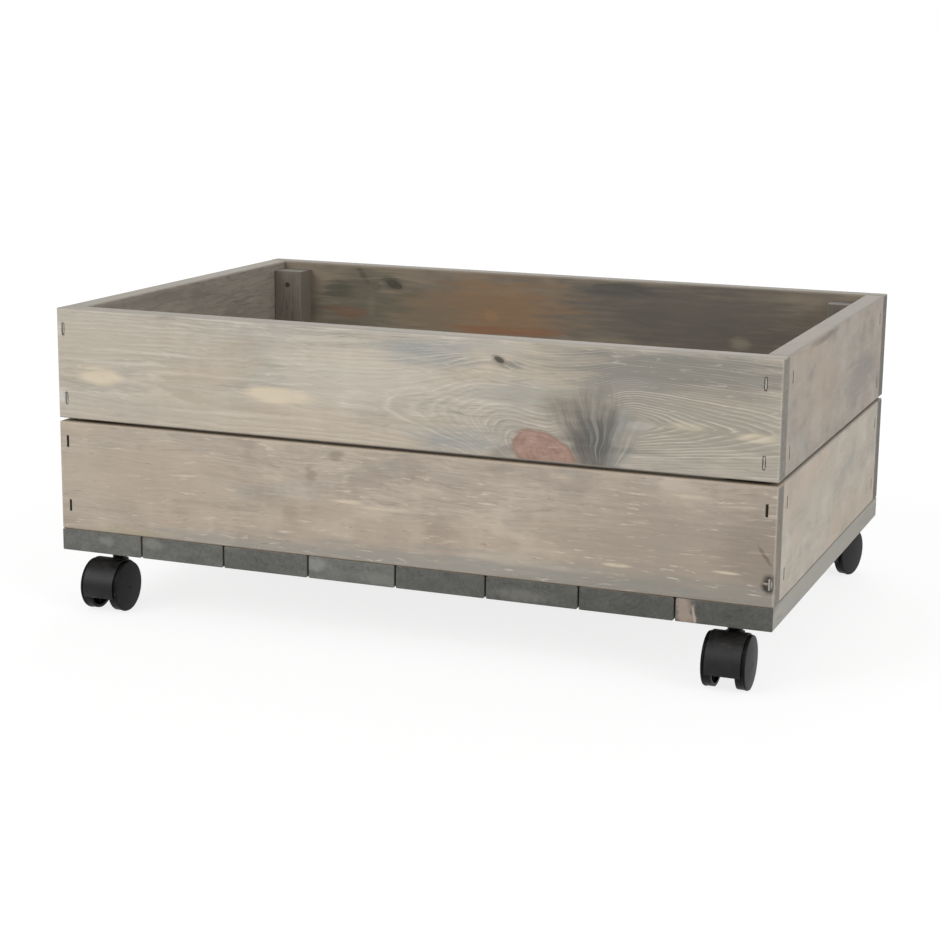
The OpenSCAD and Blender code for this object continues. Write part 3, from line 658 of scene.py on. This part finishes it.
MARKS = {
    "front_board_upper": (
        KNOT_PINK,
        KNOT_PIN,
        on_face((-260, -8.5), (22, 9.5), CREAM, 1.35, ragged=0.9),
        on_face((-98, -12), (36, 8), CREAM, 1.35, ragged=0.8),
        on_face((22, 30), (52, 14), BLUED, 0.75),
        on_face((50, -36), (50, 11), BLUED, 0.6),
        on_face((190, -31), (30, 3.4), SLATE, 0.85),
        on_face((225, 0), (130, 60), srgb(156, 149, 136), 0.85),
        on_face((230, 32), (140, 22), srgb(130, 128, 121), 0.9),
        on_face((182, 14), (50, 16), DRAB, 0.5),
        on_face((194, -12), (16, 4), PALE_GREY, 0.6),
        on_face((230, -9), (18, 3.6), CREAM, 0.45),
        on_face((284, -14), (18, 4), CREAM, 0.75),
        on_face((94, 26), (13, 4), SLATE, 0.6),
        on_face((134, -4), (24, 11), srgb(150, 140, 127), 0.7),
        on_face((-40, 8), (90, 30), srgb(202, 194, 180), 0.55),
        on_face((-270, 24), (90, 34), srgb(184, 177, 163), 0.65),
        on_face((-230, -38), (110, 18), srgb(186, 178, 165), 0.5),
        on_face((160, -22), (13, 20), srgb(100, 100, 96), 0.55, lean=0.3),
        on_face((-297, -28), (5, 7), srgb(206, 203, 196), 0.8),
        on_face((-298, 28), (5, 6), srgb(204, 200, 192), 0.7),
        # Painted shadows round the staples that sit deep in the front.
        painted_staple_shadow(-292.2, -28.6),
        painted_staple_shadow(-294, 28.2),
        painted_staple_shadow(288.2, -31.2),
        painted_staple_shadow(287.2, 26.4),
        on_face((-240, 4), (62, 1.9), CHALKY, 0.55, ragged=0.8),
        on_face((-232, 14), (58, 1.6), CHALKY, 0.45, ragged=0.8),
        on_face((-60, 36), (48, 2.2), CHALKY, 0.45, ragged=0.8),
        on_face((-150, -30), (70, 1.8), CHALKY, 0.45, ragged=0.8),
        on_face((90, -41), (15, 8), srgb(134, 132, 124), 0.75),
        on_face((176, -14), (9, 20), srgb(160, 162, 160), 0.5, lean=-0.5),
        Fan((168, -88, FACE), lean=-0.17, spread=0.37, reach=108,
            hair=srgb(134, 133, 127), tone=srgb(86, 85, 80), amount=0.94),
        Fan((162, -78, FACE), lean=0.36, spread=0.2, reach=84,
            hair=srgb(172, 171, 164), tone=srgb(120, 121, 117), amount=0.5),
    ),
    "front_board_lower": (
        on_face((120, -46), (440, 22), srgb(153, 149, 141), 0.95),
        on_face((230, -10), (140, 50), srgb(157, 146, 133), 0.8),
        on_face((292, -6), (42, 48), srgb(140, 128, 116), 0.7),
        on_face((240, -46), (160, 20), srgb(140, 137, 130), 0.7),
        on_face((292, -7), (2.4, 10), srgb(112, 98, 88), 0.85, lean=0.7),
        # Painted shade of a torn hole round a staple, with a painted glint of the staple's wire at its
        # middle.
        on_face((295.5, -28), (6.8, 8.6), PAINTED_HOLE_SHADE, 1.3, ragged=0.5),
        on_face((296.6, -27.5), (2.4, 5.2), srgb(150, 147, 141), 1.0, ragged=0.5),
        on_face((-275, 0), (60, 60), srgb(177, 165, 150), 0.55),
        on_face((-240, -44), (50, 8), srgb(168, 156, 132), 0.6),
        on_face((-73, 20), (6, 9), srgb(142, 131, 116), 0.6, ragged=1.9),
        on_face((-50, 38), (8, 5), srgb(138, 128, 112), 0.65, ragged=1.7),
        on_face((-200, 5), (90, 34), srgb(180, 164, 147), 0.6),
        on_face((-40, 2), (17, 2.4), CREAM, 0.85),
        on_face((-12, -1), (34, 1.8), CREAM, 0.5),
        on_face((196, 9), (11, 1.8), srgb(184, 167, 153), 0.7, ragged=0.9),
        on_face((236, 32), (17, 1.9), CREAM, 0.5, ragged=1.0),
        on_face((180, -25.4), (14, 1.6), CREAM, 0.85, ragged=1.0),
        on_face((264, -22.3), (14, 1.5), CREAM, 0.8, ragged=1.0),
    ),
    "right_board_upper": (
        on_face((-60, 42), (60, 4), srgb(104, 98, 90), 0.75),
        on_face((97, -9), (80, 24), srgb(134, 130, 124), 0.7),
        on_face((-40, 8), (70, 26), srgb(172, 158, 144), 0.6),
    ),
    "back_board_upper": (
        KNOT_INNER,
        KNOT_INNER._replace(middle=(167, 28.5, 0), reach=(7.5, 4.2, THROUGH), heart=srgb(84, 81, 68),
                            cloud=srgb(58, 56, 46), slant=-0.8),
        KNOT_ABOVE,
        on_inside((195, 8), (60, 40), GREEN_GREY, 0.75, ragged=1.6),
        on_inside((228, 20), (24, 10), srgb(78, 78, 66), 0.75, ragged=1.5),
        on_inside((198, 33), (5, 11), srgb(84, 80, 66), 0.7, lean=-0.7, ragged=1.9),
        on_inside((172, 33), (12, 5), srgb(78, 78, 64), 0.85, ragged=2.0),
        on_inside((150, 22), (20, 9), srgb(88, 84, 70), 0.5),
        on_inside((191, 8), (6, 14), srgb(130, 122, 102), 0.55),
        on_inside((60, 12), (100, 36), RUST, 0.75),
        on_inside((68, 5), (10, 6), srgb(170, 130, 92), 0.5, ragged=1.3),
        on_inside((130, 4), (50, 30), srgb(134, 118, 96), 0.6),
        on_inside((53, -9), (70, 6), srgb(146, 102, 74), 0.7, ragged=1.7),
        on_inside((214, -1), (30, 7), srgb(130, 98, 76), 0.65, ragged=1.9),
        on_inside((-130, 12), (150, 60), srgb(97, 92, 87), 0.85),
        on_inside((-59, 37), (60, 10), srgb(86, 86, 82), 0.8),
        on_inside((-172, -6), (12, 8), srgb(146, 138, 122), 0.8),
    ),
    "base_slat_1": (
        on_end((5, -2), (9, 5), srgb(134, 134, 130), 0.6),
        all_along_edge(-SLAT_HALF),
    ),
    "base_slat_2": (on_end((-28, -4), (11, 6), srgb(132, 132, 124), 0.7),),
    "base_slat_4": (
        on_end((-30, -3), (12, 7), srgb(140, 141, 136), 0.8),
        on_end((24, 3), (18, 6), srgb(128, 128, 122), 0.6),
    ),
    "base_slat_6": (on_end((-8, 3), (30, 6), srgb(116, 115, 110), 0.7),),
    "base_slat_8": (
        on_end((-30, 0), (9, 24), srgb(158, 143, 131), 1.0, lean=-0.17),
        on_end((-22.5, 3), (1.3, 9), srgb(186, 174, 162), 0.8, lean=-0.17),
        all_along_edge(SLAT_HALF),
    ),
}

LOGS = {
    "front_board_upper": Log(-13, -18, 2.7, 14, figure=0.55, dashes=0.35, blotches=0.15, ripples=0.12),
    "front_board_lower": Log(-70, -60, 2.8, 16, figure=0.15, dashes=0.75, fibres=0.8),
    "right_board_upper": Log(20, -60, 4.4, 18, figure=0.1, dashes=0.2, fibres=0.6, blotches=0.7),
    "right_board_lower": Log(-24, -52, 4.0, 18, figure=0.1, dashes=0.25, fibres=0.6, blotches=0.5),
    "back_board_upper": Log(18, -44, 3.4, 16, figure=0.25, dashes=0.12, fibres=0.55),
}

# The grey of the slats' end grain, in steps of 255: it darkens towards the right, but for one slat.
FIRST_END = 100
END_STEP = -3
LIGHT_SLAT = "base_slat_4"
LIGHT_SLAT_END = 106
END_WARMTH = 4            # how much less blue it has

WASHES = {
    "front_board_upper": UPPER_WASH,
    "front_board_lower": LOWER_WASH,
    "back_board": BACK_WASH,
    "right_board_upper": DULL_SIDE_WASH,
    "right_board": SIDE_WASH,
    "left_board": SIDE_WASH,
    "corner_post": POST_WASH,
}
PITH_TURN = 2.399963      # radians, the golden angle, which spreads the piths round the boards


def dress(piece, material):
    """Gives every material slot of a CAD piece the same finish."""
    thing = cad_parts[piece]
    if not thing.material_slots:
        thing.data.materials.append(material)
    for slot in thing.material_slots:
        slot.material = material


def default_log(board):
    """A log for a board that has none of its own: its pith lies somewhere behind the board."""
    turn = tally(board) * PITH_TURN
    return Log(across=34 * math.cos(turn), out=-38 - 20 * math.sin(turn),
               year=3.2 + 0.6 * math.sin(3 * turn), wander=15)


def slat_wash(slat):
    """The wash of one slat, with its own grey on the end grain."""
    grey = FIRST_END + END_STEP * (int(slat[-1]) - 1)
    if slat == LIGHT_SLAT:
        grey = LIGHT_SLAT_END
    return SLAT_WASH._replace(end=srgb(grey, grey, grey - END_WARMTH))


def entry_for(piece, table):
    """The entry of a table whose key the piece's name starts with."""
    return next((entry for start, entry in table.items() if piece.startswith(start)), None)


def finish_boards():
    """Washed wood on each wall board, slat and post."""
    for board in sorted(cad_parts):
        lie = entry_for(board, LIES)
        if lie:
            wash = entry_for(board, WASHES) or slat_wash(board)
            log = LOGS.get(board) or default_log(board)
            dress(board, washed_wood(board, lie, wash, log, MARKS.get(board, ())))


# ---------------------------------------------------------------- metal and plastic

def plastic_skin():
    """The fine spark-eroded skin of a moulding, with a little dust on what faces up, and faint scuffs."""
    mix, given, hand_out = new_effect("Moulded skin", {"Spot": "Vector"}, ("Grit", "Cloud", "Dust", "Scuff"))
    spot = given["Spot"]
    grit = mix.noise(spot, (0.5, 0.5, 0.5), detail=2)
    cloud = mix.noise(spot, (14, 14, 14), detail=3)
    up = mix.parts(mix.add("NewGeometry").outputs["Normal"])[2]
    settled = mix.rise(mix.noise(spot, (6, 6, 6), detail=4), 0.35, 0.7)
    dust = mix.number("MULTIPLY", mix.rise(up, 0.1, 1.0), settled)
    wound = mix.scaled(mix.noise(spot, (20, 20, 20), output="Color"), 9)
    scratch = mix.noise(mix.vector("ADD", spot, wound), (16, 0.5, 7), detail=1)
    scuff = mix.number("MULTIPLY", mix.rise(scratch, 0.66, 0.73), mix.rise(cloud, 0.5, 0.6))
    return hand_out(grit, cloud, dust, scuff)


SKIN = plastic_skin()
DUST_GREY = srgb(120, 116, 108)
PLASTIC_RELIEF = 0.00006  # metres
STEEL_RELIEF = 0.00005    # metres
RUSTED_STEEL = srgb(50, 44, 38)
RUST_HEIGHT = 160         # mm above the floor, up to which the damp has rusted the staples
RUST_FADE = 5             # mm to either side of that height
KNOCK = (295.8, -200, 86.6)    # mm, the place of a knock
KNOCK_REACH = 10          # mm
KNOCK_FADE = 1            # mm


def black_plastic(name, tone, worn, roughness, gloss):
    """Satin black moulding plastic. Gloss is its specular level."""
    material = new_material(name)
    mix = Recipe(material.node_tree)
    spot = mix.scaled(mix.add("TexCoord").outputs["Object"], TO_MM)
    skin = mix.effect(SKIN, spot=spot)
    colour = mix.cover(tone, worn, mix.rise(skin["Cloud"], 0.4, 0.8, top=0.12))
    colour = mix.cover(colour, worn, mix.number("MULTIPLY", skin["Scuff"], 0.8))
    colour = mix.cover(colour, DUST_GREY, mix.number("MULTIPLY", skin["Dust"], 0.06))
    sheen = mix.number("MULTIPLY_ADD", skin["Cloud"], 0.14, roughness - 0.07)
    sheen = mix.number("ADD", sheen, mix.number("MULTIPLY", skin["Dust"], 0.15))
    relief = mix.add("Bump", {"Strength": 0.35, "Distance": PLASTIC_RELIEF, "Height": skin["Grit"]})
    shader = mix.add("BsdfPrincipled", {
        "Base Color": colour, "Roughness": sheen, "Specular IOR Level": gloss,
        "Normal": relief.outputs["Normal"]})
    mix.add("OutputMaterial", {"Surface": shader.outputs[0]})
    return material


def plated_steel(name, tone, tarnish, roughness, rusted=0.0):
    """Plated steel with fine drawing lines and tarnish, rusted up to the given height in mm but for
    where a knock has scraped it."""
    material = new_material(name)
    mix = Recipe(material.node_tree)
    spot = mix.scaled(mix.add("TexCoord").outputs["Object"], TO_MM)
    tarnished = mix.noise(spot, (3.5, 3.5, 3.5), detail=4, rough=0.65)
    lines = mix.noise(spot, (0.3, 0.3, 9), detail=2)
    colour = mix.cover(tone, tarnish, mix.rise(tarnished, 0.4, 0.75))
    rust = mix.fall(mix.parts(spot)[2], rusted - RUST_FADE, rusted + RUST_FADE)
    from_knock = mix.vector("LENGTH", mix.vector("SUBTRACT", spot, KNOCK))
    spared = mix.rise(from_knock, KNOCK_REACH - KNOCK_FADE, KNOCK_REACH + KNOCK_FADE)
    colour = mix.cover(colour, RUSTED_STEEL, mix.number("MULTIPLY", rust, spared))
    sheen = mix.number("MULTIPLY_ADD", tarnished, 0.35, roughness - 0.15)
    relief = mix.add("Bump", {"Strength": 0.3, "Distance": STEEL_RELIEF, "Height": lines})
    shader = mix.add("BsdfPrincipled", {
        "Base Color": colour, "Metallic": 1.0, "Roughness": sheen, "Normal": relief.outputs["Normal"]})
    mix.add("OutputMaterial", {"Surface": shader.outputs[0]})
    return material


def finish_hardware():
    """Black plastic on the casters, and steel on what is metal in them and in the crate."""
    hood = black_plastic("Hood_black", srgb(17, 17, 18), srgb(88, 86, 83), roughness=0.42, gloss=0.28)
    wheel = black_plastic("Wheel_black", srgb(9, 9, 10), srgb(60, 59, 56), roughness=0.45, gloss=0.12)
    zinc = plated_steel("Zinc_plate", srgb(190, 190, 186), srgb(120, 116, 106), 0.38)
    dulled = plated_steel("Dulled_wire", srgb(172, 168, 160), srgb(112, 106, 98), 0.5, rusted=RUST_HEIGHT)
    nail = plated_steel("Nail_steel", srgb(96, 90, 82), srgb(54, 49, 44), 0.5)
    finishes = {"_hood": hood, "_wheel": wheel, "_stem": zinc, "_axle": zinc, "_insert": zinc,
                "_nails": nail, "_staples": dulled}
    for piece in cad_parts:
        ending = next((e for e in finishes if piece.endswith(e)), None)
        if ending:
            dress(piece, finishes[ending])


# ---------------------------------------------------------------- floor and room

WHITE = (1.0, 1.0, 1.0, 1.0)
FLOOR_MATT = (0.8, 0.8, 0.79, 1.0)
FLOOR_GLOW = 1.05         # brightness of the white that the camera sees as floor
ROOM_LIGHT = 0.5          # brightness of the room's even light
FLOOR_SIDE = 60.0         # metres
SHADOW_LIFT = 0.78        # how much of the floor near the crate is plain white
SHADOW_NEAR = 0.5         # from this distance on, in metres, the floor fades to white
SHADOW_FAR = 1.5          # from here on it is all white


def seen_directly(mix):
    """1 for what the camera sees, also by reflection or through glass, and 0 for light on its way."""
    path = mix.add("LightPath").outputs
    either = mix.number("MAXIMUM", path["Is Camera Ray"], path["Is Glossy Ray"])
    return mix.number("MAXIMUM", either, path["Is Transmission Ray"])


def lay_floor():
    """A plain pale floor that shows white but keeps a light shadow."""
    half = FLOOR_SIDE / 2
    corners = [(-half, -half, 0), (half, -half, 0), (half, half, 0), (-half, half, 0)]
    mesh = bpy.data.meshes.new("Floor")
    mesh.from_pydata(corners, [], [(0, 1, 2, 3)])
    floor = bpy.data.objects.new("Floor", mesh)
    bpy.context.scene.collection.objects.link(floor)
    material = new_material("Floor_white")
    mix = Recipe(material.node_tree)
    matt = mix.add("BsdfDiffuse", {"Color": FLOOR_MATT}).outputs[0]
    chalk = mix.add("BsdfDiffuse", {"Color": WHITE}).outputs[0]
    glow = mix.add("Emission", {"Color": WHITE, "Strength": FLOOR_GLOW}).outputs[0]
    away = mix.vector("LENGTH", mix.add("TexCoord").outputs["Object"])
    white = mix.number("ADD", SHADOW_LIFT, mix.rise(away, SHADOW_NEAR, SHADOW_FAR, top=1.0 - SHADOW_LIFT))
    shown = mix.add("MixShader", {0: white, 1: chalk, 2: glow})
    surface = mix.add("MixShader", {0: seen_directly(mix), 1: matt, 2: shown.outputs[0]})
    mix.add("OutputMaterial", {"Surface": surface.outputs[0]})
    mesh.materials.append(material)


def light_room():
    """Even light all round, and a white backdrop where the room itself is seen."""
    world = bpy.data.worlds.new("Room")
    bpy.context.scene.world = world
    world.use_nodes = True
    mix = Recipe(world.node_tree)
    even = mix.add("Background", {"Color": WHITE, "Strength": ROOM_LIGHT}).outputs[0]
    white = mix.add("Background", {"Color": WHITE, "Strength": 1.0}).outputs[0]
    shown = mix.add("MixShader", {0: seen_directly(mix), 1: even, 2: white})
    mix.add("OutputWorld", {"Surface": shown.outputs[0]})


place_camera()
light_studio()
light_room()
lay_floor()
finish_boards()
finish_hardware()
bpy.context.scene.view_settings.view_transform = "Standard"
